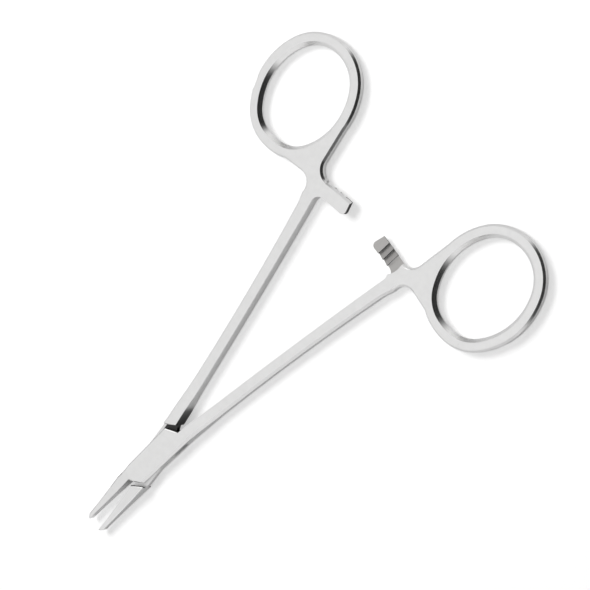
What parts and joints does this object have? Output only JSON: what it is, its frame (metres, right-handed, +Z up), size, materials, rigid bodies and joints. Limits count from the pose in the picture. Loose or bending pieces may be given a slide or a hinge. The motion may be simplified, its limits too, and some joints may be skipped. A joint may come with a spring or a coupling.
{
  "type": "needle holder",
  "caption": "Stainless steel surgical needle holder with smooth short jaws, a box lock, slender bowed shanks, a toothed ratchet and oval finger rings, lying slightly open.",
  "frame": {"origin": "on the hinge axis, in the plane of the box lock's underside", "axes": "+Z up along the hinge axis, +Y towards the finger rings, +X towards the ring of the female half"},
  "size_m": [0.0896, 0.1275, 0.0043],
  "materials": {
    "steel": "fine satin ground"
  },
  "bodies": {
    "box_side": {"female_half": "steel", "box_lock_pin": "steel"},
    "tongue_side": {"male_half": "steel"}
  },
  "joints": [
    {"name": "box_lock", "type": "hinge", "parent": "box_side", "child": "tongue_side", "pos_m": [0, 0, 0.00215], "axis": [0, 0, 1], "range_deg": [-8.6, 60]}
  ]
}
